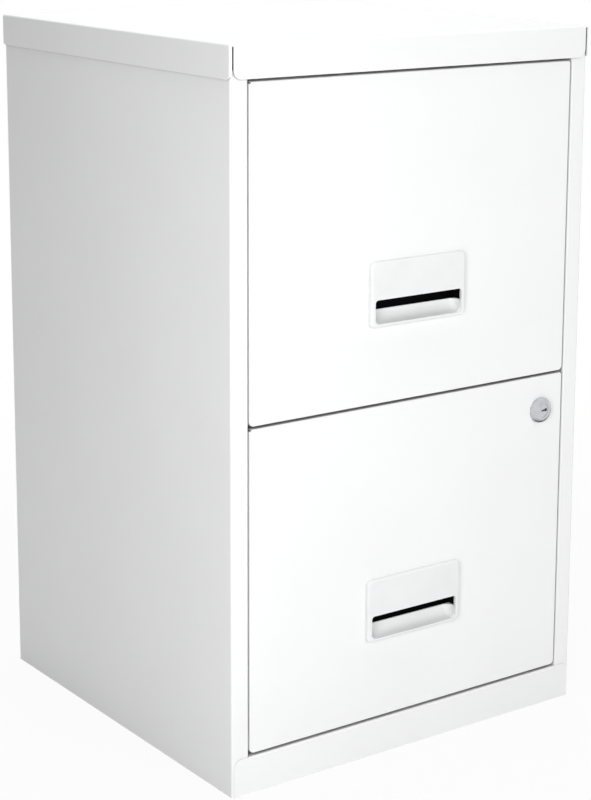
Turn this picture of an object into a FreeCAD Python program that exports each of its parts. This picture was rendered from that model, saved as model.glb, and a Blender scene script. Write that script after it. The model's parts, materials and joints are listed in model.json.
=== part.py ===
"""Two-drawer steel filing cabinet, built as separate sheet-metal and fitted pieces.

Millimetres. +X to the right of someone facing the drawers, +Y to the back, +Z up.
The origin is on the floor, under the middle of the cabinet.
"""
import FreeCAD
import Part
import math
import os

# ---- overall size -------------------------------------------------------------------
CABINET_WIDTH = 400.0
CABINET_DEPTH = 400.0
CABINET_HEIGHT = 660.0

# ---- sheet metal --------------------------------------------------------------------
SHEET = 0.8              # thickness of every painted sheet
RAIL_SHEET = 1.0         # thickness of the drawer rails
BEND = 0.8               # inside radius of a fold
POST_BEND = 1.4          # inside radius of the long folds down the carcass sides
FIT = 0.05               # clearance of one fixed piece inside another
RUNNING_FIT = 0.05       # radial clearance of a shaft in its bearing
RUNNING_GAP = 0.3        # air between pieces that pass each other
EPS = 1.0                # how far a cutting tool runs past what it cuts

# ---- carcass ------------------------------------------------------------------------
CAP_FLANGE = 29.0
CAP_BEND = 1.6           # outside radius round the top of the cap
CAP_TURN = 2.2           # outside radius of its upright corners
CAP_AIR = 0.7            # between the cap's flange and the carcass inside it
CAP_WRAP = 2.6           # side flanges turned round the corners, as far as the open joints
CAP_CORNER_GAP = 1.6     # width of those joints
CAP_CORNER_RADIUS = 8.0  # lower corners of the front and rear flanges
CAP_SIDE_RADIUS = 7.0    # lower corners of the side flanges, as cut before they are folded
TOP_RELIEF = 5.0         # notch in the posts behind that joint, where the top flange folds
POST_WIDTH = 18.0        # front and rear posts, folded in from the sides
JAMB_DEPTH = 40.0
REAR_JAMB_DEPTH = 30.0
PLINTH_HEIGHT = 34.0
PLINTH_MARGIN = 2.0      # plinth stops short of the carcass edge by this
PLINTH_CORNER_RADIUS = 8.0
PLINTH_LIP = 15.0
SILL_DEPTH = 18.0
BACK_MARGIN = 1.5
SWAGE_WIDTH = 12.0       # stiffening grooves pressed into the back
SWAGE_DEPTH = 2.2
SWAGE_OFFSET = 100.0
SWAGE_MARGIN = 60.0
HEADER_HEIGHT = 25.0
HEADER_DEPTH = 20.0
HEADER_SETBACK = 1.5
CENTRE_RAIL_SETBACK = 8.5
CENTRE_RAIL_DEPTH = 19.0
CENTRE_RAIL_DROP = 14.0
BASE_RAIL_HEIGHT = 30.0
BASE_RAIL_DEPTH = 16.0

# ---- drawers ------------------------------------------------------------------------
LEVELS = ("lower", "upper")
SIDES = {"left": -1, "right": 1}
DRAWER_GAP = 2.4         # above, between and below the drawer fronts
SIDE_GAP = 1.2
FRONT_DEPTH = 18.0       # folded edges of a drawer front
FRONT_EDGE_RADIUS = 1.2
FRONT_CORNER_RADIUS = 4.5
CORNER_RELIEF_RADIUS = 1.3
LINER_RETURN = 12.0
LINER_MARGIN = 6.0
TRAY_LIFT = 7.0          # underside of the tray above the bottom of the front
TRAY_TOP_DROP = 36.0     # hems below the top of the drawer front
TRAY_REAR_CLEARANCE = 28.2
TRAY_HEM = 6.0           # hem on which hanging files hook
TRAY_TAB = 12.0
TRAY_BACK_DROP = 20.0
TRAY_BACK_RETURN = 12.0

# ---- slides -------------------------------------------------------------------------
SLIDE_SPACE = 14.0       # between the tray and the front opening's edge, each side
SLIDE_RISE = 70.0        # roller centres above the bottom of the drawer front
SLIDE_START = 2.5        # cabinet slide behind the back of the drawer front
SLIDE_REAR_CLEARANCE = 7.7
SLIDE_HEADROOM = 0.5     # over the drawer rail, inside the cabinet slide
FLANGE_CLEARANCE = 1.5
RAIL_START = 2.0
RAIL_REAR_SETBACK = 5.0  # rail stops short of the back of the tray
RAIL_DROP = 11.0         # rail web below the roller centres
ROLLER_RADIUS = 9.0
ROLLER_WIDTH = 6.0
ROLLER_EDGE = 0.6
PIN_RADIUS = 2.0
PIN_SHOULDER_RADIUS = 3.5
PIN_HEAD_RADIUS = 4.5
PIN_HEAD = 1.2
FRONT_ROLLER_INSET = 12.0   # front roller behind the start of the cabinet slide
REAR_ROLLER_INSET = 16.0    # rear roller ahead of the end of the drawer rail
ROLLER_SPREAD = 34.5        # between the rollers of a fully open drawer
STOP_HEIGHT = 5.0
STOP_WIDTH = 6.0

# ---- rivets -------------------------------------------------------------------------
RIVET_RADIUS = 1.6
RIVET_HEAD_RADIUS = 3.0
RIVET_HEAD = 0.8
RIVET_TAIL = 0.5
SLIDE_RIVET_INSET = 4.5
REAR_RIVET_INSET = 5.0
RAIL_RIVET_INSET = 41.5
RAIL_RIVET_DROP = 6.0
TAB_RIVET_MARGIN = 40.0
TAB_RIVET_INSET = 6.0

# ---- handles ------------------------------------------------------------------------
HANDLE_WIDTH = 107.0
HANDLE_HEIGHT = 59.5
HANDLE_RISE = {"lower": 74.6, "upper": 70.3}   # plate above the bottom of the front
HANDLE_PLATE = 4.5
HANDLE_RADIUS = 5.0
HANDLE_BEVEL = 2.2
WINDOW_WIDTH = 98.0
HANDLE_FACE = 1.5        # thickness of the plate where it is hollow behind
WINDOW_MARGIN = 3.3      # window above the bottom of the plate
WINDOW_RADIUS = 3.0
SCOOP_HEIGHT = 11.2
SLOT_HEIGHT = 10.6
SCOOP_DEPTH = 6.0        # behind the drawer front
SCOOP_END_RADIUS = 7.0
SCOOP_WALL = 1.4
CUP_WALL = 1.0
CUP_DEPTH = 15.5
CUP_MARGIN = 3.0         # inside the top edge of the plate
CUP_RADIUS = 3.0

# ---- lock ---------------------------------------------------------------------------
LOCK_FROM_SIDE = 27.2
LOCK_FROM_TOP = 32.8
BEZEL_RADIUS = 12.2
BEZEL_LENGTH = 5.0
BEZEL_EDGE = 3.8
BARREL_RADIUS = 9.5
BARREL_LENGTH = 9.0
PLUG_RADIUS = 6.5
PLUG_RECESS = 0.4
PLUG_FLOOR = 1.5
TAIL_RADIUS = 3.0
KEYWAY = (-1.6, 5.2)     # its ends, right of the plug's axis
KEYWAY_WIDTH = 1.7
KEYWAY_ROUND = 1.6       # radius of the round end that takes the key's stem
KEYWAY_DEPTH = 4.0
KEYWAY_TILT = 5.0
LOCK_NUT_FLATS = 25.0
LOCK_NUT = 4.0
CRANK_SHEET = 2.0
CRANK_ARM = 7.0          # drive pin off the plug's axis
CRANK_BOSS = 5.0
CRANK_TOE = 3.0
DRIVE_PIN_RADIUS = 1.5
LOCK_TURN = 90.0
BAR_SHEET = 2.0
BAR_SETBACK = 1.7        # bar behind the crank
BAR_WIDTH = 8.0
YOKE_WIDTH = 13.0
YOKE_HEIGHT = 12.0
YOKE_CLEARANCE = 0.5
BAR_CLEARANCE = 0.6
GUIDE_WIDTH = 18.0
GUIDE_HEIGHT = 8.0
GUIDE_DEPTH = 2.0
GUIDE_CLEARANCE = 1.0    # over the yoke when the bar is up

# ---- worked out from the sizes above ------------------------------------------------
HALF_WIDTH = CABINET_WIDTH / 2 - SHEET - CAP_AIR
FRONT_Y = -(CABINET_DEPTH / 2 - SHEET - CAP_AIR)
BACK_Y = CABINET_DEPTH / 2 - SHEET - CAP_AIR
REAR_POST_Y = BACK_Y - SHEET
CAP_SEAT = CABINET_HEIGHT - SHEET
OPENING_HALF = HALF_WIDTH - POST_WIDTH
OPENING_TOP = CABINET_HEIGHT - CAP_FLANGE

FRONT_HALF = OPENING_HALF - SIDE_GAP
FRONT_HEIGHT = (OPENING_TOP - PLINTH_HEIGHT - (len(LEVELS) + 1) * DRAWER_GAP) / len(LEVELS)
FRONT_PITCH = FRONT_HEIGHT + DRAWER_GAP
FRONT_BOTTOM = {
    level: PLINTH_HEIGHT + DRAWER_GAP + i * FRONT_PITCH for i, level in enumerate(LEVELS)
}
FRONT_BACK = FRONT_Y + FRONT_DEPTH
SKIN_BACK = FRONT_Y + SHEET
LINER_FRONT = FRONT_BACK - SHEET

TRAY_HALF = OPENING_HALF - SLIDE_SPACE
TRAY_HEIGHT = FRONT_HEIGHT - TRAY_LIFT - TRAY_TOP_DROP
TRAY_END = REAR_POST_Y - TRAY_REAR_CLEARANCE
RAIL_OUTER = TRAY_HALF + RAIL_SHEET
CHANNEL_INNER = OPENING_HALF - SHEET
ROLLER_MIDDLE = (RAIL_OUTER + CHANNEL_INNER) / 2
CHANNEL_FLOOR = -ROLLER_RADIUS - RUNNING_GAP
RAIL_UNDERSIDE = ROLLER_RADIUS + RUNNING_GAP
CHANNEL_ROOF = RAIL_UNDERSIDE + RAIL_SHEET + SLIDE_HEADROOM
SLIDE_FRONT = FRONT_BACK + SLIDE_START
SLIDE_END = REAR_POST_Y - SLIDE_REAR_CLEARANCE
RAIL_FRONT = FRONT_BACK + RAIL_START
RAIL_END = TRAY_END - RAIL_REAR_SETBACK
FRONT_ROLLER_Y = SLIDE_FRONT + FRONT_ROLLER_INSET
REAR_ROLLER_Y = RAIL_END - REAR_ROLLER_INSET
TRAVEL = REAR_ROLLER_Y - FRONT_ROLLER_Y - ROLLER_SPREAD

SCOOP_REACH = HANDLE_PLATE - HANDLE_FACE + SCOOP_DEPTH
SCOOP_RADIUS = (SCOOP_HEIGHT ** 2 + SCOOP_REACH ** 2) / (2 * SCOOP_REACH)

LOCK_LEVEL = LEVELS[0]
LOCK_X = FRONT_HALF - LOCK_FROM_SIDE
LOCK_Z = FRONT_BOTTOM[LOCK_LEVEL] + FRONT_HEIGHT - LOCK_FROM_TOP
BEZEL_FRONT = FRONT_Y - BEZEL_LENGTH
BARREL_END = FRONT_Y + BARREL_LENGTH
CRANK_FRONT = BARREL_END + RUNNING_GAP
CRANK_BACK = CRANK_FRONT + CRANK_SHEET
BAR_FRONT = CRANK_BACK + BAR_SETBACK
BAR_BACK = BAR_FRONT + BAR_SHEET
HALF_TURN = math.radians(LOCK_TURN / 2)
BAR_LIFT = 2 * CRANK_ARM * math.sin(HALF_TURN)
PIN_REACH = CRANK_ARM * math.cos(HALF_TURN)
PIN_DROP = CRANK_ARM * math.sin(HALF_TURN)
BAR_X = LOCK_X - (CRANK_ARM + PIN_REACH) / 2
BAR_TOP = FRONT_BOTTOM[LEVELS[1]] + TRAY_LIFT - BAR_CLEARANCE - BAR_LIFT


# ---- drawing helpers ----------------------------------------------------------------
def vec(x, y, z):
    return FreeCAD.Vector(x, y, z)


def block(x, y, z):
    """Box from (low, high) pairs along each axis."""
    return Part.makeBox(x[1] - x[0], y[1] - y[0], z[1] - z[0], vec(x[0], y[0], z[0]))


def rod(radius, start, end):
    """Round bar between two points."""
    along = end - start
    return Part.makeCylinder(radius, along.Length, start, along)


def unit(a, b):
    length = math.hypot(b[0] - a[0], b[1] - a[1])
    return (b[0] - a[0]) / length, (b[1] - a[1]) / length


def place(plane, u, v, w):
    """Point (u, v) of a drawing plane, w along the plane's normal."""
    return {"XY": vec(u, v, w), "XZ": vec(u, w, v), "YZ": vec(w, u, v)}[plane]


def rounded_wire(plane, points, radii, w):
    """Closed outline whose corners are rounded by the given radii."""
    edges = []
    ends = []
    for i, corner in enumerate(points):
        back = unit(corner, points[i - 1])
        ahead = unit(corner, points[(i + 1) % len(points)])
        half = math.acos(max(-1.0, min(1.0, back[0] * ahead[0] + back[1] * ahead[1]))) / 2
        if radii[i] <= 0:
            here = place(plane, corner[0], corner[1], w)
            ends.append((here, here))
            continue
        cut = radii[i] / math.tan(half)
        reach = radii[i] / math.sin(half) - radii[i]
        middle = unit((0, 0), (back[0] + ahead[0], back[1] + ahead[1]))
        first = place(plane, corner[0] + back[0] * cut, corner[1] + back[1] * cut, w)
        crest = place(plane, corner[0] + middle[0] * reach, corner[1] + middle[1] * reach, w)
        last = place(plane, corner[0] + ahead[0] * cut, corner[1] + ahead[1] * cut, w)
        edges.append(Part.Arc(first, crest, last).toShape())
        ends.append((first, last))
    for i, (_, leave) in enumerate(ends):
        arrive = ends[(i + 1) % len(ends)][0]
        edges.append(Part.LineSegment(leave, arrive).toShape())
    return Part.Wire(Part.__sortEdges__(edges))


def prism(plane, points, radii, span):
    """Rounded outline carried straight along the plane's normal, from span[0] to span[1]."""
    face = Part.Face(rounded_wire(plane, points, radii, span[0]))
    return face.extrude(place(plane, 0, 0, span[1]) - place(plane, 0, 0, span[0]))


def rectangle(u, v):
    return [(u[0], v[0]), (u[1], v[0]), (u[1], v[1]), (u[0], v[1])]


def folded(plane, path, span, sheet=SHEET, bend=BEND):
    """Sheet folded along an open path, its thickness on the left of the path."""
    normals = []
    for a, b in zip(path, path[1:]):
        ahead = unit(a, b)
        normals.append((-ahead[1], ahead[0]))
    shifted = []
    path_radii = []
    shifted_radii = []
    for i, (u, v) in enumerate(path):
        before = normals[max(i - 1, 0)]
        after = normals[min(i, len(normals) - 1)]
        spread = 1 + before[0] * after[0] + before[1] * after[1]
        shifted.append((
            u + sheet * (before[0] + after[0]) / spread,
            v + sheet * (before[1] + after[1]) / spread,
        ))
        turn = before[0] * after[1] - before[1] * after[0]
        inside = 0 if abs(turn) < 1e-9 else bend
        outside = inside + sheet if inside else 0
        path_radii.append(outside if turn > 0 else inside)
        shifted_radii.append(inside if turn > 0 else outside)
    outline = path + shifted[::-1]
    return prism(plane, outline, path_radii + shifted_radii[::-1], span)


def mirrored(shape):
    """The same piece on the cabinet's other side."""
    return shape.mirror(vec(0, 0, 0), vec(1, 0, 0))


def on_side(shape, side):
    return shape if SIDES[side] > 0 else mirrored(shape)


def rivet(start, end, head=RIVET_HEAD, tail=RIVET_TAIL):
    """Rivet through sheets from start to end: a head before start, a tail after end."""
    ahead = (end - start).normalize()
    shank = rod(RIVET_RADIUS, start, end)
    top = rod(RIVET_HEAD_RADIUS, start - ahead * head, start)
    foot = rod(RIVET_HEAD_RADIUS, end, end + ahead * tail)
    return shank.fuse([top, foot]).removeSplitter()


def rivet_hole(start, end):
    ahead = (end - start).normalize()
    return rod(RIVET_RADIUS + FIT, start - ahead * EPS, end + ahead * EPS)


def corner_waste(plane, corner, inward, radius, span):
    """What is cut off a square corner to round it; inward points into the sheet."""
    u, v = corner
    reach = [(u - inward[0], u + inward[0] * radius), (v - inward[1], v + inward[1] * radius)]
    square = prism(plane, rectangle(sorted(reach[0]), sorted(reach[1])), [0] * 4, span)
    centre = [place(plane, u + inward[0] * radius, v + inward[1] * radius, w) for w in span]
    return square.cut(rod(radius, centre[0], centre[1]))


# ---- carcass ------------------------------------------------------------------------
def slide_rivet_points(level):
    """Through the cabinet slide and the jamb, at the front and at the rear."""
    z = FRONT_BOTTOM[level] + SLIDE_RISE
    rear = SLIDE_END - REAR_RIVET_INSET
    for y in (SLIDE_FRONT + SLIDE_RIVET_INSET, rear):
        yield vec(CHANNEL_INNER, y, z), vec(OPENING_HALF + SHEET, y, z)


def side_panel():
    """Right side with its posts and jambs folded in, and flanges at top and bottom."""
    plan = [
        (OPENING_HALF, FRONT_Y + JAMB_DEPTH),
        (OPENING_HALF, FRONT_Y),
        (HALF_WIDTH, FRONT_Y),
        (HALF_WIDTH, REAR_POST_Y),
        (OPENING_HALF, REAR_POST_Y),
        (OPENING_HALF, REAR_POST_Y - REAR_JAMB_DEPTH),
    ]
    panel = folded("XY", plan, (0, CAP_SEAT), bend=POST_BEND)
    inner = (OPENING_HALF + SHEET, HALF_WIDTH - SHEET / 2)
    length = (FRONT_Y + SHEET / 2, REAR_POST_Y - SHEET / 2)
    bottom = block(inner, length, (0, SHEET))
    top = block(inner, length, (CAP_SEAT - SHEET, CAP_SEAT))
    panel = panel.fuse([bottom, top]).removeSplitter()
    waste = [rivet_hole(*ends) for level in LEVELS for ends in slide_rivet_points(level)]
    notch_x = (HALF_WIDTH - TOP_RELIEF, HALF_WIDTH + EPS)
    notch_z = (OPENING_TOP + CAP_CORNER_RADIUS, CAP_SEAT + EPS)
    waste.append(block(notch_x, (FRONT_Y - EPS, FRONT_Y + TOP_RELIEF), notch_z))
    waste.append(block(notch_x, (REAR_POST_Y - TOP_RELIEF, REAR_POST_Y + EPS), notch_z))
    return panel.cut(waste)


def swage(middle, inset, span):
    """Round-ended upright slot, inset all round from the outline of a stiffening groove."""
    half = SWAGE_WIDTH / 2 - inset
    z = (SWAGE_MARGIN + inset, CAP_SEAT - SWAGE_MARGIN - inset)
    return prism("XZ", rectangle((middle - half, middle + half), z), [half - FIT] * 4, span)


def back_panel():
    """Flat sheet on the rear posts, stiffened by two pressed grooves."""
    half = HALF_WIDTH - BACK_MARGIN
    sheet = block((-half, half), (REAR_POST_Y, BACK_Y), (0, CAP_SEAT))
    front = REAR_POST_Y - SWAGE_DEPTH
    for side in SIDES.values():
        middle = side * SWAGE_OFFSET
        sheet = sheet.fuse(swage(middle, 0, (front, BACK_Y)))
        sheet = sheet.cut(swage(middle, SHEET, (front + SHEET, BACK_Y + EPS)))
    return sheet.removeSplitter()


def top_cap():
    """Lid folded down on four sides; the side flanges turn the corners, beside open joints."""
    half_x = CABINET_WIDTH / 2
    half_y = CABINET_DEPTH / 2
    low = CABINET_HEIGHT - CAP_FLANGE
    outside = rectangle((-half_x, half_x), (-half_y, half_y))
    cap = prism("XY", outside, [CAP_TURN] * 4, (low, CABINET_HEIGHT))
    rim = [e for e in cap.Edges if e.BoundBox.ZMin > CABINET_HEIGHT - SHEET]
    cap = cap.makeFillet(CAP_BEND, rim)
    inner_x = half_x - SHEET
    inner_y = half_y - SHEET
    inside = rectangle((-inner_x, inner_x), (-inner_y, inner_y))
    cap = cap.cut(prism("XY", inside, [CAP_TURN - SHEET] * 4, (low - EPS, CAP_SEAT)))
    joint = (half_x - CAP_WRAP - CAP_CORNER_GAP, half_x - CAP_WRAP)
    waste = []
    for sx in (-1, 1):
        for sy in (-1, 1):
            across = sorted((sx * joint[0], sx * joint[1]))
            front_y = sorted((sy * (inner_y - EPS), sy * (half_y + EPS)))
            side_x = sorted((sx * (joint[1] - FIT), sx * (half_x + EPS)))
            waste.append(block(across, front_y, (low - EPS, CABINET_HEIGHT - CAP_BEND)))
            edge = (sx * joint[0], low)
            waste.append(corner_waste("XZ", edge, (-sx, 1), CAP_CORNER_RADIUS, front_y))
            edge = (sy * (half_y + SHEET), low)
            waste.append(corner_waste("YZ", edge, (-sy, 1), CAP_SIDE_RADIUS, side_x))
    return cap.cut(waste)


def plinth():
    """Kick plate over the feet of the posts, folded back as the sill of the opening."""
    front = FRONT_Y - SHEET
    back = front + SILL_DEPTH
    low_lip = PLINTH_HEIGHT - PLINTH_LIP
    profile = [(back, low_lip), (back, PLINTH_HEIGHT), (front, PLINTH_HEIGHT), (front, 0)]
    sill_half = OPENING_HALF - FIT
    sill = folded("YZ", profile, (-sill_half, sill_half))
    half = HALF_WIDTH - PLINTH_MARGIN
    outline = rectangle((-half, half), (0, PLINTH_HEIGHT))
    radius = PLINTH_CORNER_RADIUS
    plate = prism("XZ", outline, [0, 0, radius, radius], (front, FRONT_Y))
    z = (-EPS, PLINTH_HEIGHT + EPS)
    middle = block((-sill_half, sill_half), (front - EPS, FRONT_Y + EPS), z)
    return plate.cut(middle).fuse(sill).removeSplitter()


def header_rail():
    """Channel between the posts, hidden behind the cap's front flange."""
    front = FRONT_Y + HEADER_SETBACK
    back = front + HEADER_DEPTH
    low = CAP_SEAT - HEADER_HEIGHT
    profile = [(back, CAP_SEAT), (front, CAP_SEAT), (front, low), (back, low)]
    return folded("YZ", profile, (-OPENING_HALF, OPENING_HALF))


def centre_rail():
    """Angle between the posts, its flange in the gap between the drawer fronts."""
    top = FRONT_BOTTOM["upper"] - (DRAWER_GAP - SHEET) / 2
    front = FRONT_Y + CENTRE_RAIL_SETBACK
    back = front + CENTRE_RAIL_DEPTH
    profile = [(front, top - SHEET), (back, top - SHEET), (back, top - CENTRE_RAIL_DROP)]
    rail = folded("YZ", profile, (-OPENING_HALF, OPENING_HALF))
    return rail.cut(bar_slot((top - SHEET - EPS, top + EPS)))


def rear_base_rail():
    """Channel between the feet of the rear posts, against the back panel."""
    back = REAR_POST_Y
    front = back - BASE_RAIL_DEPTH
    top = BASE_RAIL_HEIGHT
    profile = [(front, 0), (back, 0), (back, top), (front, top)]
    return folded("YZ", profile, (-OPENING_HALF, OPENING_HALF))


# ---- slides -------------------------------------------------------------------------
def stop_chord():
    """How far ahead of a roller's centre its rim is, at the top of a stop."""
    height = ROLLER_RADIUS + RUNNING_GAP - STOP_HEIGHT
    return math.sqrt(ROLLER_RADIUS ** 2 - height ** 2)


def across_web(inner, outer, y, z):
    """Hole for a roller's pin through an upright web."""
    return rod(PIN_RADIUS + FIT, vec(inner - EPS, y, z), vec(outer + EPS, y, z))


def cabinet_slide(level):
    """Right-hand channel in which a drawer's rear roller runs, with its two stops."""
    z = FRONT_BOTTOM[level] + SLIDE_RISE
    inner = RAIL_OUTER + FLANGE_CLEARANCE
    low = z + CHANNEL_FLOOR - SHEET
    high = z + CHANNEL_ROOF + SHEET
    section = [(inner, low), (OPENING_HALF, low), (OPENING_HALF, high), (inner, high)]
    channel = folded("XZ", section, (SLIDE_FRONT, SLIDE_END))
    stop_x = (ROLLER_MIDDLE - STOP_WIDTH / 2, ROLLER_MIDDLE + STOP_WIDTH / 2)
    stop_z = (low, low + SHEET + STOP_HEIGHT)
    clear = stop_chord() + RUNNING_GAP
    out_stop = REAR_ROLLER_Y - TRAVEL - clear
    in_stop = REAR_ROLLER_Y + clear
    stops = [
        block(stop_x, (out_stop - SHEET, out_stop), stop_z),
        block(stop_x, (in_stop, in_stop + SHEET), stop_z),
    ]
    channel = channel.fuse(stops).removeSplitter()
    pin_hole = across_web(CHANNEL_INNER, OPENING_HALF, FRONT_ROLLER_Y, z)
    return channel.cut([pin_hole] + [rivet_hole(*ends) for ends in slide_rivet_points(level)])


def drawer_rail(level):
    """Right-hand rail on the tray: its top flange rides on the cabinet's front roller."""
    z = FRONT_BOTTOM[level] + SLIDE_RISE
    high = z + RAIL_UNDERSIDE + RAIL_SHEET
    outer = CHANNEL_INNER - FLANGE_CLEARANCE
    section = [(outer, high), (TRAY_HALF, high), (TRAY_HALF, z - RAIL_DROP)]
    rail = folded("XZ", section, (RAIL_FRONT, RAIL_END), sheet=RAIL_SHEET)
    pin_hole = across_web(TRAY_HALF, RAIL_OUTER, REAR_ROLLER_Y, z)
    return rail.cut([pin_hole] + [rivet_hole(*ends) for ends in rail_rivet_points(level)])


def rail_rivet_points(level):
    """Through the tray's side and the rail."""
    z = FRONT_BOTTOM[level] + SLIDE_RISE - RAIL_RIVET_DROP
    middle = (RAIL_FRONT + RAIL_END) / 2
    for y in (RAIL_FRONT + RAIL_RIVET_INSET, middle, RAIL_END - RAIL_RIVET_INSET):
        yield vec(TRAY_HALF - SHEET, y, z), vec(RAIL_OUTER, y, z)


def roller(y, z):
    low = ROLLER_MIDDLE - ROLLER_WIDTH / 2
    high = ROLLER_MIDDLE + ROLLER_WIDTH / 2
    wheel = rod(ROLLER_RADIUS, vec(low, y, z), vec(high, y, z))
    wheel = wheel.makeFillet(ROLLER_EDGE, wheel.Edges)
    bore = rod(PIN_RADIUS + RUNNING_FIT, vec(low - EPS, y, z), vec(high + EPS, y, z))
    return wheel.cut(bore)


def roller_pin(y, z, web, seat):
    """Shouldered pin riveted in a web (web to seat), carrying a roller beyond it."""
    way = 1 if seat > web else -1
    near = ROLLER_MIDDLE - way * (ROLLER_WIDTH / 2 + RUNNING_GAP)
    far = ROLLER_MIDDLE + way * (ROLLER_WIDTH / 2 + RUNNING_GAP)
    shank = rod(PIN_RADIUS, vec(web, y, z), vec(far, y, z))
    shoulder = rod(PIN_SHOULDER_RADIUS, vec(seat, y, z), vec(near, y, z))
    head = rod(PIN_HEAD_RADIUS, vec(far, y, z), vec(far + way * PIN_HEAD, y, z))
    return shank.fuse([shoulder, head]).removeSplitter()


def cabinet_roller_pin(level):
    return roller_pin(FRONT_ROLLER_Y, FRONT_BOTTOM[level] + SLIDE_RISE, OPENING_HALF, CHANNEL_INNER)


def drawer_roller_pin(level):
    return roller_pin(REAR_ROLLER_Y, FRONT_BOTTOM[level] + SLIDE_RISE, TRAY_HALF, RAIL_OUTER)


# ---- drawer -------------------------------------------------------------------------
def bar_slot(z, clearance=BAR_CLEARANCE):
    """Tool for a slot that the lock bar passes through."""
    half = BAR_WIDTH / 2 + clearance
    return block((BAR_X - half, BAR_X + half), (BAR_FRONT - clearance, BAR_BACK + clearance), z)


def handle_levels(level):
    """Bottom and top of the plate, bottom of the window, top of the scoop and of the slot."""
    low = FRONT_BOTTOM[level] + HANDLE_RISE[level]
    sill = low + WINDOW_MARGIN
    return low, low + HANDLE_HEIGHT, sill, sill + SCOOP_HEIGHT, sill + SCOOP_HEIGHT + SLOT_HEIGHT


def cup_outline(level, grow):
    """Outline of the finger cup, grown outwards by grow."""
    _, high, sill, _, _ = handle_levels(level)
    around = SCOOP_WALL + FIT + CUP_WALL + grow
    half = WINDOW_WIDTH / 2 + around
    v = (sill - around, high - CUP_MARGIN + grow)
    return rectangle((-half, half), v)


def front_skin(level):
    """Painted face of a drawer, folded back all round."""
    low = FRONT_BOTTOM[level]
    high = low + FRONT_HEIGHT
    radius = FRONT_CORNER_RADIUS
    outline = rectangle((-FRONT_HALF, FRONT_HALF), (low, high))
    skin = prism("XZ", outline, [radius, radius, 0, 0], (FRONT_Y, FRONT_BACK))
    rim = [e for e in skin.Edges if e.BoundBox.YMax < FRONT_Y + FIT]
    skin = skin.makeFillet(FRONT_EDGE_RADIUS, rim)
    inset = rectangle((-FRONT_HALF + SHEET, FRONT_HALF - SHEET), (low + SHEET, high - SHEET))
    radius -= SHEET
    tools = [prism("XZ", inset, [radius, radius, 0, 0], (SKIN_BACK, FRONT_BACK + EPS))]
    for side in SIDES.values():
        x = side * (FRONT_HALF - SHEET / 2)
        z = high - SHEET / 2
        ends = (vec(x, FRONT_Y - EPS, z), vec(x, FRONT_BACK + EPS, z))
        tools.append(rod(CORNER_RELIEF_RADIUS, *ends))
    through = (FRONT_Y - EPS, SKIN_BACK + EPS)
    tools.append(prism("XZ", cup_outline(level, RUNNING_GAP), [CUP_RADIUS] * 4, through))
    if level == LOCK_LEVEL:
        tools.append(rod(BARREL_RADIUS + FIT, *map(on_lock_axis, through)))
        tools.append(bar_slot((high - SHEET - EPS, high + EPS)))
    else:
        tools.append(bar_slot((low - EPS, low + SHEET + EPS)))
    return skin.cut(tools)


def tab_rivet_points(level):
    """Through the tray's front tabs and the liner, four to a drawer."""
    low = FRONT_BOTTOM[level] + TRAY_LIFT
    x = TRAY_HALF - SHEET - TRAY_TAB + TAB_RIVET_INSET
    for side in SIDES.values():
        for z in (low + TAB_RIVET_MARGIN, low + TRAY_HEIGHT - TAB_RIVET_MARGIN):
            yield vec(side * x, LINER_FRONT, z), vec(side * x, FRONT_BACK + SHEET, z)


def front_liner(level):
    """Inner sheet that closes the back of the drawer front."""
    low = FRONT_BOTTOM[level] + LINER_MARGIN
    high = FRONT_BOTTOM[level] + FRONT_HEIGHT - LINER_MARGIN
    half = FRONT_HALF - SHEET - FIT
    ahead = FRONT_BACK - LINER_RETURN
    plan = [(half, ahead), (half, FRONT_BACK), (-half, FRONT_BACK), (-half, ahead)]
    liner = folded("XY", plan, (low, high))
    return liner.cut([rivet_hole(*ends) for ends in tab_rivet_points(level)])


def handle_plate(level):
    """Moulded pull: bevelled plate, hollow behind its face, with a window and a finger scoop."""
    low, high, sill, scoop_top, slot_top = handle_levels(level)
    half = HANDLE_WIDTH / 2
    front = FRONT_Y - HANDLE_PLATE
    outline = rectangle((-half, half), (low, high))
    plate = prism("XZ", outline, [HANDLE_RADIUS] * 4, (front, FRONT_Y))
    rim = [e for e in plate.Edges if e.BoundBox.YMax < front + FIT]
    plate = plate.makeFillet(HANDLE_BEVEL, rim)
    half = WINDOW_WIDTH / 2
    wide = half + SCOOP_WALL
    back = FRONT_Y + SCOOP_DEPTH
    corner = CUP_RADIUS - CUP_WALL
    ladle = rectangle((-wide, wide), (sill - SCOOP_WALL, scoop_top))
    ladle = prism("XZ", ladle, [corner, corner, 0, 0], (FRONT_Y, back + SCOOP_WALL))
    face_back = front + HANDLE_FACE
    window = rectangle((-half, half), (sill, slot_top))
    window = prism("XZ", window, [WINDOW_RADIUS] * 4, (front - EPS, face_back))
    room = rectangle((-wide, wide), (scoop_top, high - CUP_MARGIN - CUP_WALL))
    room = prism("XZ", room, [0, 0, corner, corner], (face_back, FRONT_Y + EPS))
    axis_y = back - SCOOP_RADIUS
    hollow = rod(SCOOP_RADIUS, vec(-half, axis_y, scoop_top), vec(half, axis_y, scoop_top))
    hollow = hollow.makeFillet(SCOOP_END_RADIUS, hollow.Edges)
    scoop = hollow.common(block((-half, half), (face_back, back + EPS), (sill, scoop_top + EPS)))
    return plate.fuse(ladle).cut([window, room, scoop]).removeSplitter()


def finger_cup(level):
    """Dark cup behind the plate that keeps fingers out of the drawer."""
    back = FRONT_Y + CUP_DEPTH
    outer = prism("XZ", cup_outline(level, 0), [CUP_RADIUS] * 4, (FRONT_Y, back))
    depth = (FRONT_Y - EPS, back - CUP_WALL)
    inside = prism("XZ", cup_outline(level, -CUP_WALL), [CUP_RADIUS - CUP_WALL] * 4, depth)
    return outer.cut(inside)


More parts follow.
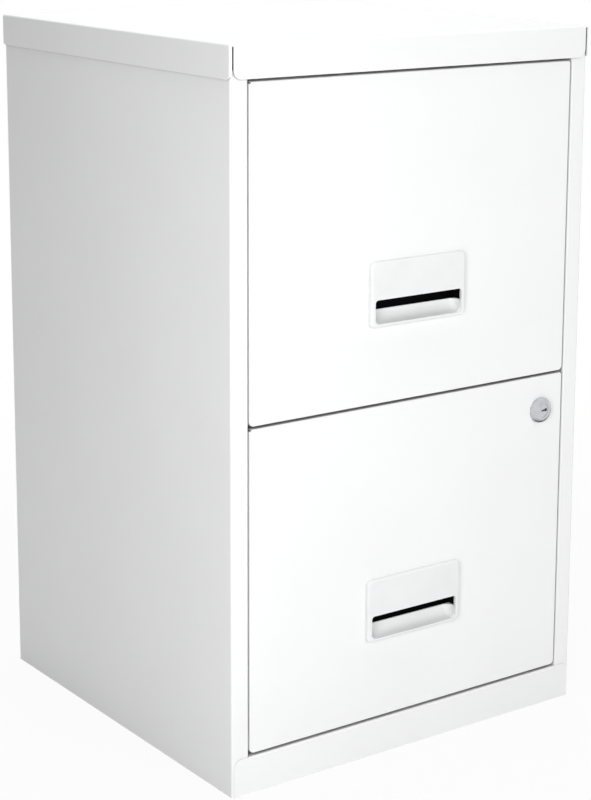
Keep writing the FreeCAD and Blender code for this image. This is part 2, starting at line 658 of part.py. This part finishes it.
def tray(level):
    """Bottom and sides in one folded sheet, with hems on top and tabs at the front."""
    low = FRONT_BOTTOM[level] + TRAY_LIFT
    high = low + TRAY_HEIGHT
    hem = TRAY_HALF + TRAY_HEM
    section = [
        (-hem, high - TRAY_HEM),
        (-hem, high),
        (-TRAY_HALF, high),
        (-TRAY_HALF, low),
        (TRAY_HALF, low),
        (TRAY_HALF, high),
        (hem, high),
        (hem, high - TRAY_HEM),
    ]
    body = folded("XZ", section, (FRONT_BACK, TRAY_END))
    inner = TRAY_HALF - SHEET / 2
    tab_y = (FRONT_BACK, FRONT_BACK + SHEET)
    tab_z = (low + TRAY_TAB, high - TRAY_TAB)
    tab_half = inner - 2 * TRAY_TAB
    tabs = [block((-tab_half, tab_half), tab_y, (low + SHEET / 2, low + TRAY_TAB))]
    for side in SIDES.values():
        span = sorted((side * inner, side * (inner - TRAY_TAB)))
        tabs.append(block(span, tab_y, tab_z))
    body = body.fuse(tabs).removeSplitter()
    holes = [rivet_hole(*ends) for ends in tab_rivet_points(level)]
    for ends in rail_rivet_points(level):
        holes.append(rivet_hole(*ends))
        holes.append(mirrored(rivet_hole(*ends)))
    return body.cut(holes)


def drawer_back(level):
    """Rear wall inside the tray, its edges folded forward."""
    low = FRONT_BOTTOM[level] + TRAY_LIFT + SHEET + BEND
    high = FRONT_BOTTOM[level] + TRAY_LIFT + TRAY_HEIGHT - TRAY_BACK_DROP
    half = TRAY_HALF - SHEET - FIT
    ahead = TRAY_END - TRAY_BACK_RETURN
    plan = [(half, ahead), (half, TRAY_END), (-half, TRAY_END), (-half, ahead)]
    return folded("XY", plan, (low, high))


# ---- lock ---------------------------------------------------------------------------
def on_lock_axis(y):
    return vec(LOCK_X, y, LOCK_Z)


def lock_housing():
    """Bezel and barrel, bored for the plug, with a floor that the plug's tail passes."""
    bezel = rod(BEZEL_RADIUS, on_lock_axis(BEZEL_FRONT), on_lock_axis(FRONT_Y))
    rim = [e for e in bezel.Edges if e.BoundBox.YMax < BEZEL_FRONT + FIT]
    bezel = bezel.makeFillet(BEZEL_EDGE, rim)
    barrel = rod(BARREL_RADIUS, on_lock_axis(FRONT_Y), on_lock_axis(BARREL_END))
    floor = BARREL_END - PLUG_FLOOR
    bore = rod(PLUG_RADIUS + RUNNING_FIT, on_lock_axis(BEZEL_FRONT - EPS), on_lock_axis(floor))
    tail = rod(TAIL_RADIUS + RUNNING_FIT, on_lock_axis(floor - EPS), on_lock_axis(BARREL_END + EPS))
    return bezel.fuse(barrel).cut([bore, tail])


def lock_nut():
    """Six-sided nut that clamps the barrel behind the skin."""
    corner = LOCK_NUT_FLATS / math.sqrt(3)
    angles = [math.radians(60 * i) for i in range(6)]
    outline = [(LOCK_X + corner * math.cos(a), LOCK_Z + corner * math.sin(a)) for a in angles]
    back = SKIN_BACK + LOCK_NUT
    nut = prism("XZ", outline, [0] * 6, (SKIN_BACK, back))
    hole = rod(BARREL_RADIUS + FIT, on_lock_axis(SKIN_BACK - EPS), on_lock_axis(back + EPS))
    return nut.cut(hole)


def lock_plug():
    """Turning core with its keyway in front and a tail that carries the crank."""
    front = BEZEL_FRONT + PLUG_RECESS
    shoulder = BARREL_END - PLUG_FLOOR - RUNNING_GAP
    core = rod(PLUG_RADIUS, on_lock_axis(front), on_lock_axis(shoulder))
    tail = rod(TAIL_RADIUS, on_lock_axis(shoulder), on_lock_axis(CRANK_BACK))
    left, right = (LOCK_X + end for end in KEYWAY)
    stem_x = right - KEYWAY_ROUND
    deep = (front - EPS, front + KEYWAY_DEPTH)
    flat_z = (LOCK_Z - KEYWAY_WIDTH / 2, LOCK_Z + KEYWAY_WIDTH / 2)
    stem = rod(KEYWAY_ROUND, vec(stem_x, deep[0], LOCK_Z), vec(stem_x, deep[1], LOCK_Z))
    keyway = block((left, stem_x), deep, flat_z).fuse(stem)
    keyway.rotate(on_lock_axis(front), vec(0, 1, 0), -KEYWAY_TILT)
    return core.fuse(tail).removeSplitter().cut(keyway)


def lock_crank():
    """Arm on the plug's tail, with the pin that lifts the lock bar."""
    pin_x = LOCK_X - PIN_REACH
    pin_z = LOCK_Z - PIN_DROP
    boss = rod(CRANK_BOSS, on_lock_axis(CRANK_FRONT), on_lock_axis(CRANK_BACK))
    toe = rod(CRANK_TOE, vec(pin_x, CRANK_FRONT, pin_z), vec(pin_x, CRANK_BACK, pin_z))
    ahead = unit((LOCK_X, LOCK_Z), (pin_x, pin_z))
    wide = (-ahead[1] * CRANK_TOE, ahead[0] * CRANK_TOE)
    arm = [
        (LOCK_X + wide[0], LOCK_Z + wide[1]),
        (pin_x + wide[0], pin_z + wide[1]),
        (pin_x - wide[0], pin_z - wide[1]),
        (LOCK_X - wide[0], LOCK_Z - wide[1]),
    ]
    arm = prism("XZ", arm, [0] * 4, (CRANK_FRONT, CRANK_BACK))
    pin_end = BAR_BACK + RUNNING_GAP
    pin = rod(DRIVE_PIN_RADIUS, vec(pin_x, CRANK_BACK, pin_z), vec(pin_x, pin_end, pin_z))
    hole = rod(TAIL_RADIUS + FIT, on_lock_axis(CRANK_FRONT - EPS), on_lock_axis(CRANK_BACK + EPS))
    return boss.fuse([arm, toe, pin]).removeSplitter().cut(hole)


def lock_bar():
    """Flat bar, lifted by the crank's pin in its cross slot, into the frame and the top drawer."""
    middle = LOCK_Z - PIN_DROP
    low = middle - YOKE_HEIGHT / 2
    shoulder = middle + YOKE_HEIGHT / 2
    yoke = rectangle((BAR_X - YOKE_WIDTH / 2, BAR_X + YOKE_WIDTH / 2), (low, shoulder))
    foot = prism("XZ", yoke, [2 * DRIVE_PIN_RADIUS] * 4, (BAR_FRONT, BAR_BACK))
    half = BAR_WIDTH / 2
    tongue = rectangle((BAR_X - half, BAR_X + half), (middle, BAR_TOP))
    tongue = prism("XZ", tongue, [0, 0, DRIVE_PIN_RADIUS, DRIVE_PIN_RADIUS], (BAR_FRONT, BAR_BACK))
    reach = (CRANK_ARM - PIN_REACH) / 2 + DRIVE_PIN_RADIUS + YOKE_CLEARANCE
    height = DRIVE_PIN_RADIUS + YOKE_CLEARANCE
    slot = rectangle((BAR_X - reach, BAR_X + reach), (middle - height, middle + height))
    slot = prism("XZ", slot, [DRIVE_PIN_RADIUS] * 4, (BAR_FRONT - EPS, BAR_BACK + EPS))
    return foot.fuse(tongue).removeSplitter().cut(slot)


def lock_bar_guide():
    """Block on the liner that keeps the bar upright."""
    low = LOCK_Z - PIN_DROP + YOKE_HEIGHT / 2 + BAR_LIFT + GUIDE_CLEARANCE
    x = (BAR_X - GUIDE_WIDTH / 2, BAR_X + GUIDE_WIDTH / 2)
    guide = block(x, (BAR_FRONT - GUIDE_DEPTH, LINER_FRONT), (low, low + GUIDE_HEIGHT))
    return guide.cut(bar_slot((low - EPS, low + GUIDE_HEIGHT + EPS), RUNNING_GAP))


# ---- nodes --------------------------------------------------------------------------
def both_sides(shapes):
    """Identical fasteners of the right and the left, as one group of separate solids."""
    return Part.makeCompound(shapes + [mirrored(shape) for shape in shapes])


def carcass_nodes():
    nodes = {
        "back_panel": back_panel(),
        "top_cap": top_cap(),
        "plinth": plinth(),
        "header_rail": header_rail(),
        "centre_rail": centre_rail(),
        "rear_base_rail": rear_base_rail(),
        "cabinet_roller_pins": both_sides([cabinet_roller_pin(level) for level in LEVELS]),
        "slide_rivets": both_sides(
            [rivet(*ends) for level in LEVELS for ends in slide_rivet_points(level)]
        ),
    }
    for side in SIDES:
        nodes[side + "_side_panel"] = on_side(side_panel(), side)
    return nodes


def drawer_nodes(level):
    z = FRONT_BOTTOM[level] + SLIDE_RISE
    nodes = {
        "front_skin": front_skin(level),
        "front_liner": front_liner(level),
        "handle_plate": handle_plate(level),
        "finger_cup": finger_cup(level),
        "tray": tray(level),
        "drawer_back": drawer_back(level),
        "drawer_roller_pins": both_sides([drawer_roller_pin(level)]),
        "rail_rivets": both_sides([rivet(*ends) for ends in rail_rivet_points(level)]),
        "tab_rivets": Part.makeCompound([rivet(*ends) for ends in tab_rivet_points(level)]),
    }
    for side in SIDES:
        nodes[side + "_cabinet_slide"] = on_side(cabinet_slide(level), side)
        nodes[side + "_drawer_rail"] = on_side(drawer_rail(level), side)
        nodes[side + "_cabinet_roller"] = on_side(roller(FRONT_ROLLER_Y, z), side)
        nodes[side + "_drawer_roller"] = on_side(roller(REAR_ROLLER_Y, z), side)
    return {level + "_" + name: shape for name, shape in nodes.items()}


def lock_nodes():
    return {
        "lock_housing": lock_housing(),
        "lock_nut": lock_nut(),
        "lock_plug": lock_plug(),
        "lock_crank": lock_crank(),
        "lock_bar": lock_bar(),
        "lock_bar_guide": lock_bar_guide(),
    }


def main():
    nodes = carcass_nodes()
    for level in LEVELS:
        nodes.update(drawer_nodes(level))
    nodes.update(lock_nodes())
    os.makedirs("parts", exist_ok=True)
    for name, shape in sorted(nodes.items()):
        if not shape.isValid():
            print("not valid:", name)
        shape.exportStep(os.path.join("parts", name + ".step"))
        print(name, len(shape.Solids), round(shape.Volume, 1))
    print(len(nodes), "nodes; drawer travel", round(TRAVEL, 3), "lock bar lift", round(BAR_LIFT, 3))


main()
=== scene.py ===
"""Looks of the two-drawer steel filing cabinet: finishes, floor, light and camera. Metres."""
import json
import math
import bpy
from mathutils import Matrix, Vector

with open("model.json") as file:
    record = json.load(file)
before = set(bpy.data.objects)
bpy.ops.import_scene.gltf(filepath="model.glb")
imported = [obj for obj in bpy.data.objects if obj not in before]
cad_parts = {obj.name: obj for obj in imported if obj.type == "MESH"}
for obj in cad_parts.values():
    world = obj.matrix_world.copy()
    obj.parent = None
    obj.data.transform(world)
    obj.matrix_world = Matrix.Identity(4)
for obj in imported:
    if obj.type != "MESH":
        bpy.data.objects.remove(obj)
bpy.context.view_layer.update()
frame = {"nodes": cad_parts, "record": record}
NODES = frame["nodes"]
RECORD = frame["record"]

# ---- camera --------------------------------------------------------------------------
AZIMUTH = math.radians(-36.66)       # looks along +Y at 0
ELEVATION = math.radians(11.04)
ROLL = math.radians(0.48)
STAND = Vector((-1.1155, -1.5920, 0.8039))
LENS = 91.73                         # millimetres
SHIFT = (-0.0635, -0.1705)           # shares of the picture's longer side

# ---- lamps: place, the point it is aimed at, width and height, watts -----------------
LAMPS = {
    "key": ((0.25, -2.0, 1.0), (0.0, -0.2, 0.35), (1.2, 1.2), 20.5),
    "left_box": ((-1.0, -0.85, 0.6), (-0.2, -0.15, 0.33), (0.4, 0.8), 7.4),
    "overhead": ((0.0, 0.1, 2.4), (0.0, 0.1, 0.0), (1.4, 1.4), 29.5),
    "rear": ((0.9, 1.8, 0.9), (0.1, 0.1, 0.33), (1.2, 1.2), 18.0),
}
WORLD_LIGHT = 0.12

# ---- floor ---------------------------------------------------------------------------
FLOOR_HALF = 6.0
FLOOR_WHITE = 0.75
FLOOR_NEAR = 0.45        # radius inside which the floor shows its shadow in full
FLOOR_FAR = 1.3          # radius beyond which it is plain white
FLOOR_GLOW = 0.92        # share of plain white seen in the floor near the cabinet

# ---- colours -------------------------------------------------------------------------
WHITE = (0.86, 0.862, 0.865)
PULL_WHITE = (0.80, 0.803, 0.808)
ZINC = (0.62, 0.64, 0.67)
NICKEL = (0.60, 0.61, 0.635)
NYLON = (0.78, 0.77, 0.73)
# near black: painted shade for the dark hollow behind the pull's slot
CUP_SHADE_BLACK = (0.003, 0.003, 0.0035)

# ---- painted shade in the joints and under proud sheets, painted reflection of the ground on the nickel ---
# painted shade: the paint colour is darkened where ambient occlusion finds walls close by
PAINTED_SHADE_RAYS = 12
PAINTED_SHADE_REACH = 0.006    # how near another wall has to be for painted shade in a joint
PAINTED_SHADE_OPEN = 0.65      # share of open sky from which there is no painted shade
PAINTED_SHADE_SHUT = 0.15      # share of open sky at which the painted shade is at its darkest
PAINTED_SHADE_TONE = 0.40      # what is left of the colour there
PAINTED_SHADOW_LINE_OPEN = 0.96         # the same three for the painted shadow line beside a sheet that stands proud
PAINTED_SHADOW_LINE_SHUT = 0.60
PAINTED_SHADOW_LINE_TONE = 0.66
PAINTED_SHADOW_LINE_FROM = (0.01, 0.06)             # heights over which that painted shadow line comes in, clear of the floor
# painted reflection: nickel colour darkened on faces turned to the ground
PAINTED_REFLECTION_SIDE = (0.45, 0.0, -0.89)     # down and to the right
PAINTED_REFLECTION_START = 0.03      # how far a face turns to that side before it darkens
PAINTED_REFLECTION_END = 0.50
PAINTED_REFLECTION_TONE = 0.10       # what is left of the colour from there on


class Finish:
    """A node material under construction around one Principled shader."""

    def __init__(self, name, roughness, metallic=0.0):
        self.material = bpy.data.materials.new(name)
        self.material.use_nodes = True
        self.tree = self.material.node_tree
        self.shader = self.tree.nodes["Principled BSDF"]
        self.shader.inputs["Roughness"].default_value = roughness
        self.shader.inputs["Metallic"].default_value = metallic
        self.place = self.add("ShaderNodeTexCoord").outputs["Object"]

    def add(self, kind, **settings):
        node = self.tree.nodes.new(kind)
        for name, value in settings.items():
            setattr(node, name, value)
        return node

    def link(self, source, target):
        self.tree.links.new(source, target)

    def shade(self, name, value):
        """Value into one of the shader's inputs."""
        self.link(value, self.shader.inputs[name])

    def noise(self, scale, detail=2.0, stretch=None):
        """Grain of about 1/scale metres, drawn out along an axis by stretch."""
        texture = self.add("ShaderNodeTexNoise")
        texture.inputs["Scale"].default_value = scale
        texture.inputs["Detail"].default_value = detail
        if stretch:
            mapping = self.add("ShaderNodeMapping")
            mapping.inputs["Scale"].default_value = stretch
            self.link(self.place, mapping.inputs["Vector"])
            self.link(mapping.outputs["Vector"], texture.inputs["Vector"])
        else:
            self.link(self.place, texture.inputs["Vector"])
        return texture.outputs["Fac"]

    def ramp(self, value, low, high, start=0.3, end=0.7):
        """Value carried from low to high between start and end."""
        node = self.add("ShaderNodeMapRange")
        node.inputs["From Min"].default_value = start
        node.inputs["From Max"].default_value = end
        node.inputs["To Min"].default_value = low
        node.inputs["To Max"].default_value = high
        self.link(value, node.inputs["Value"])
        return node.outputs["Result"]

    def tint(self, value, dark, light, start=0.3, end=0.7):
        """Colour between dark and light, and into the shader."""
        node = self.add("ShaderNodeValToRGB")
        node.color_ramp.elements[0].position = start
        node.color_ramp.elements[0].color = (*dark, 1.0)
        node.color_ramp.elements[1].position = end
        node.color_ramp.elements[1].color = (*light, 1.0)
        self.link(value, node.inputs["Fac"])
        self.shade("Base Color", node.outputs["Color"])
        return node.outputs["Color"]

    def dim(self, colour, share):
        """A share of the colour, in place of the colour, into the shader."""
        node = self.add("ShaderNodeVectorMath", operation="SCALE")
        self.link(colour, node.inputs[0])
        self.link(share, node.inputs["Scale"])
        self.shade("Base Color", node.outputs["Vector"])

    def geometry(self, name):
        return self.add("ShaderNodeNewGeometry").outputs[name]

    def paint_ground_reflection(self, colour):
        """Painted reflection: colour falling off on faces that turn to the ground, standing in for
        the ground they mirror.
        """
        turn = self.add("ShaderNodeVectorMath", operation="DOT_PRODUCT")
        turn.inputs[1].default_value = PAINTED_REFLECTION_SIDE
        self.link(self.geometry("Normal"), turn.inputs[0])
        self.dim(colour, self.ramp(turn.outputs["Value"], 1.0, PAINTED_REFLECTION_TONE, PAINTED_REFLECTION_START, PAINTED_REFLECTION_END))

    def height(self, vector):
        """Third component of a vector."""
        split = self.add("ShaderNodeSeparateXYZ")
        self.link(vector, split.inputs[0])
        return split.outputs["Z"]

    def constant(self, value):
        node = self.add("ShaderNodeValue")
        node.outputs[0].default_value = value
        return node.outputs[0]

    def blend(self, amount, first, second):
        """First going over to second as the amount goes from 0 to 1."""
        node = self.add("ShaderNodeMix")
        self.link(amount, node.inputs["Factor"])
        self.link(first, node.inputs["A"])
        self.link(second, node.inputs["B"])
        return node.outputs["Result"]

    def paint_shade_in_crevices(self, colour, painted_shadow_lines):
        """
        Painted shade: colour falling off on level faces a few millimetres from another wall and, with
        painted_shadow_lines, a painted shadow line on upright ones beside a sheet that stands proud.
        """
        # painted shade and painted shadow: base colour darkened by ambient occlusion
        sky = self.add("ShaderNodeAmbientOcclusion", samples=PAINTED_SHADE_RAYS)
        sky.inputs["Distance"].default_value = PAINTED_SHADE_REACH
        painted_shade_upright = self.constant(1.0)
        if painted_shadow_lines:
            raised = self.ramp(self.height(self.geometry("Position")), 0.0, 1.0, *PAINTED_SHADOW_LINE_FROM)
            line = self.ramp(sky.outputs["AO"], PAINTED_SHADOW_LINE_TONE, 1.0, PAINTED_SHADOW_LINE_SHUT, PAINTED_SHADOW_LINE_OPEN)
            painted_shade_upright = self.blend(raised, painted_shade_upright, line)
        painted_shade_level = self.ramp(sky.outputs["AO"], PAINTED_SHADE_TONE, 1.0, PAINTED_SHADE_SHUT, PAINTED_SHADE_OPEN)
        level = self.add("ShaderNodeMath", operation="ABSOLUTE")
        self.link(self.height(self.geometry("Normal")), level.inputs[0])
        self.dim(colour, self.blend(level.outputs["Value"], painted_shade_upright, painted_shade_level))

    def relief(self, value, height, strength=1.0, under=None):
        """Bump of about height metres, on top of the bump under it."""
        node = self.add("ShaderNodeBump")
        node.inputs["Distance"].default_value = height
        node.inputs["Strength"].default_value = strength
        self.link(value, node.inputs["Height"])
        if under is not None:
            self.link(under, node.inputs["Normal"])
        return node.outputs["Normal"]


def scaled(colour, factor):
    return tuple(channel * factor for channel in colour)


def powder_coat(name, colour, painted_shadow_lines=False):
    """Satin powder coat: fine orange peel over faint slow waves of the sheet, with painted shade in
    its joints.
    """
    finish = Finish(name, roughness=0.36)
    mottle = finish.noise(scale=7.0, detail=4.0)
    colour = finish.tint(mottle, dark=scaled(colour, 0.985), light=scaled(colour, 1.01))
    # painted shade in the joints, darkening the coat's colour
    finish.paint_shade_in_crevices(colour, painted_shadow_lines)
    finish.shade("Roughness", finish.ramp(finish.noise(scale=90.0, detail=3.0), low=0.32, high=0.42))
    waves = finish.relief(finish.noise(scale=5.0, detail=1.0), height=0.0006)
    peel = finish.relief(finish.noise(scale=900.0), height=0.00004, strength=0.6, under=waves)
    finish.shade("Normal", peel)
    return finish.material


def moulded(name, colour, roughness, gloss=0.4):
    """Moulded plastic with a spark-eroded grain."""
    finish = Finish(name, roughness)
    finish.shader.inputs["Specular IOR Level"].default_value = gloss
    mottle = finish.noise(scale=30.0, detail=3.0)
    finish.tint(mottle, dark=scaled(colour, 0.97), light=scaled(colour, 1.02))
    worn = finish.ramp(finish.noise(scale=120.0), low=roughness - 0.05, high=roughness + 0.06)
    finish.shade("Roughness", worn)
    finish.shade("Normal", finish.relief(finish.noise(scale=1400.0), height=0.00003, strength=0.5))
    return finish.material


def zinc_plate(name):
    """Bright zinc on rolled strip: fine lines along the slide, cloudy spangle."""
    finish = Finish(name, roughness=0.35, metallic=1.0)
    lines = finish.noise(scale=60.0, detail=3.0, stretch=(14.0, 0.6, 14.0))
    spangle = finish.noise(scale=45.0, detail=4.0)
    finish.tint(spangle, dark=scaled(ZINC, 0.86), light=scaled(ZINC, 1.08))
    finish.shade("Roughness", finish.ramp(lines, low=0.26, high=0.46))
    finish.shade("Normal", finish.relief(lines, height=0.00002, strength=0.5))
    return finish.material


def nickel_plate(name):
    """Satin nickel with a little tarnish, its under sides darkened as a painted reflection of the
    ground.
    """
    finish = Finish(name, roughness=0.3, metallic=1.0)
    tarnish = finish.noise(scale=160.0, detail=4.0)
    colour = finish.tint(tarnish, dark=scaled(NICKEL, 0.88), light=scaled(NICKEL, 1.06))
    # painted reflection of the ground, darkening the under sides
    finish.paint_ground_reflection(colour)
    finish.shade("Roughness", finish.ramp(finish.noise(scale=260.0, detail=3.0), low=0.24, high=0.38))
    finish.shade("Normal", finish.relief(finish.noise(scale=1500.0), height=0.00001, strength=0.5))
    return finish.material


def finishes():
    """One finish for each material slot of the record."""
    return {
        # both coats carry painted shade in their joints; the carcass one also painted shadow lines
        # under proud sheets
        "carcass_paint": powder_coat("carcass_powder_coat_with_painted_shade", WHITE, painted_shadow_lines=True),
        "drawer_paint": powder_coat("drawer_powder_coat_with_painted_shade", WHITE),
        "pull_plastic": moulded("pull_white_plastic", PULL_WHITE, roughness=0.45),
        # the cup is coloured near black as painted shade of the hollow behind the slot
        "cup_plastic": moulded("cup_painted_shade_black_plastic", CUP_SHADE_BLACK, roughness=0.75, gloss=0.08),
        "zinc_steel": zinc_plate("zinc_plated_steel"),
        "roller_plastic": moulded("roller_nylon", NYLON, roughness=0.5),
        # lock nickel carries a painted reflection of the ground on its under sides
        "lock_metal": nickel_plate("nickel_plated_lock_with_painted_reflection"),
    }


def dress_nodes(materials):
    """Every CAD node takes the finish of its material slot."""
    for part in RECORD["subparts"]:
        mesh = NODES[part["node"]].data
        mesh.materials.clear()
        mesh.materials.append(materials[part["material_slot"]])


def seen_directly(tree):
    """1 for camera, mirror and glass rays, 0 for the light that falls on the object."""
    path = tree.nodes.new("ShaderNodeLightPath")
    seen = path.outputs["Is Camera Ray"]
    for kind in ("Is Glossy Ray", "Is Transmission Ray"):
        either = tree.nodes.new("ShaderNodeMath")
        either.operation = "MAXIMUM"
        tree.links.new(seen, either.inputs[0])
        tree.links.new(path.outputs[kind], either.inputs[1])
        seen = either.outputs[0]
    return seen


def make_world():
    """White to look at, and a faint fill for what it lights."""
    world = bpy.data.worlds.new("studio")
    bpy.context.scene.world = world
    world.use_nodes = True
    tree = world.node_tree
    tree.nodes.clear()
    mix = tree.nodes.new("ShaderNodeMixShader")
    tree.links.new(seen_directly(tree), mix.inputs["Fac"])
    for slot, strength in ((1, WORLD_LIGHT), (2, 1.0)):
        backdrop = tree.nodes.new("ShaderNodeBackground")
        backdrop.inputs["Color"].default_value = (1.0, 1.0, 1.0, 1.0)
        backdrop.inputs["Strength"].default_value = strength
        tree.links.new(backdrop.outputs[0], mix.inputs[slot])
    out = tree.nodes.new("ShaderNodeOutputWorld")
    tree.links.new(mix.outputs[0], out.inputs["Surface"])


def floor_material():
    """Pale floor that keeps the cabinet's soft shadow and fades into the white ground."""
    material = bpy.data.materials.new("floor_white")
    material.use_nodes = True
    tree = material.node_tree
    tree.nodes.clear()
    place = tree.nodes.new("ShaderNodeTexCoord")
    radius = tree.nodes.new("ShaderNodeVectorMath")
    radius.operation = "LENGTH"
    tree.links.new(place.outputs["Object"], radius.inputs[0])
    fade = tree.nodes.new("ShaderNodeMapRange")
    fade.interpolation_type = "SMOOTHSTEP"
    fade.inputs["From Min"].default_value = FLOOR_NEAR
    fade.inputs["From Max"].default_value = FLOOR_FAR
    fade.inputs["To Min"].default_value = FLOOR_GLOW
    fade.inputs["To Max"].default_value = 1.0
    tree.links.new(radius.outputs["Value"], fade.inputs["Value"])
    share = tree.nodes.new("ShaderNodeMath")
    share.operation = "MULTIPLY"
    tree.links.new(fade.outputs["Result"], share.inputs[0])
    tree.links.new(seen_directly(tree), share.inputs[1])
    cloth = tree.nodes.new("ShaderNodeBsdfDiffuse")
    cloth.inputs["Color"].default_value = (FLOOR_WHITE, FLOOR_WHITE, FLOOR_WHITE, 1.0)
    glow = tree.nodes.new("ShaderNodeEmission")
    mix = tree.nodes.new("ShaderNodeMixShader")
    out = tree.nodes.new("ShaderNodeOutputMaterial")
    tree.links.new(share.outputs[0], mix.inputs["Fac"])
    tree.links.new(cloth.outputs[0], mix.inputs[1])
    tree.links.new(glow.outputs[0], mix.inputs[2])
    tree.links.new(mix.outputs[0], out.inputs["Surface"])
    return material


def make_floor():
    mesh = bpy.data.meshes.new("floor")
    half = FLOOR_HALF
    corners = [(-half, -half, 0), (half, -half, 0), (half, half, 0), (-half, half, 0)]
    mesh.from_pydata(corners, [], [(0, 1, 2, 3)])
    floor = bpy.data.objects.new("floor", mesh)
    bpy.context.scene.collection.objects.link(floor)
    mesh.materials.append(floor_material())


def area_light(name, place, target, size, power):
    """Softbox that lights the cabinet and shows neither itself nor its mirror image."""
    light = bpy.data.lights.new(name, "AREA")
    light.shape = "RECTANGLE"
    light.size, light.size_y = size
    light.energy = power
    lamp = bpy.data.objects.new(name, light)
    lamp.visible_camera = False
    lamp.visible_glossy = False
    bpy.context.scene.collection.objects.link(lamp)
    aim = Vector(target) - Vector(place)
    lamp.location = place
    lamp.rotation_euler = aim.to_track_quat("-Z", "Y").to_euler()


def make_lights():
    for name, settings in LAMPS.items():
        area_light(name, *settings)


def make_camera():
    data = bpy.data.cameras.new("camera")
    data.lens = LENS
    data.shift_x, data.shift_y = SHIFT
    camera = bpy.data.objects.new("camera", data)
    bpy.context.scene.collection.objects.link(camera)
    back = Vector((
        math.sin(AZIMUTH) * math.cos(ELEVATION),
        -math.cos(AZIMUTH) * math.cos(ELEVATION),
        math.sin(ELEVATION),
    ))
    right = Vector((math.cos(AZIMUTH), math.sin(AZIMUTH), 0.0))
    up = back.cross(right)
    across = right * math.cos(ROLL) + up * math.sin(ROLL)
    upward = up * math.cos(ROLL) - right * math.sin(ROLL)
    turn = Matrix((across, upward, back)).transposed().to_4x4()
    camera.matrix_world = Matrix.Translation(STAND) @ turn
    bpy.context.scene.camera = camera


def main():
    bpy.context.scene.view_settings.view_transform = "Standard"
    dress_nodes(finishes())
    make_world()
    make_floor()
    make_lights()
    make_camera()


main()
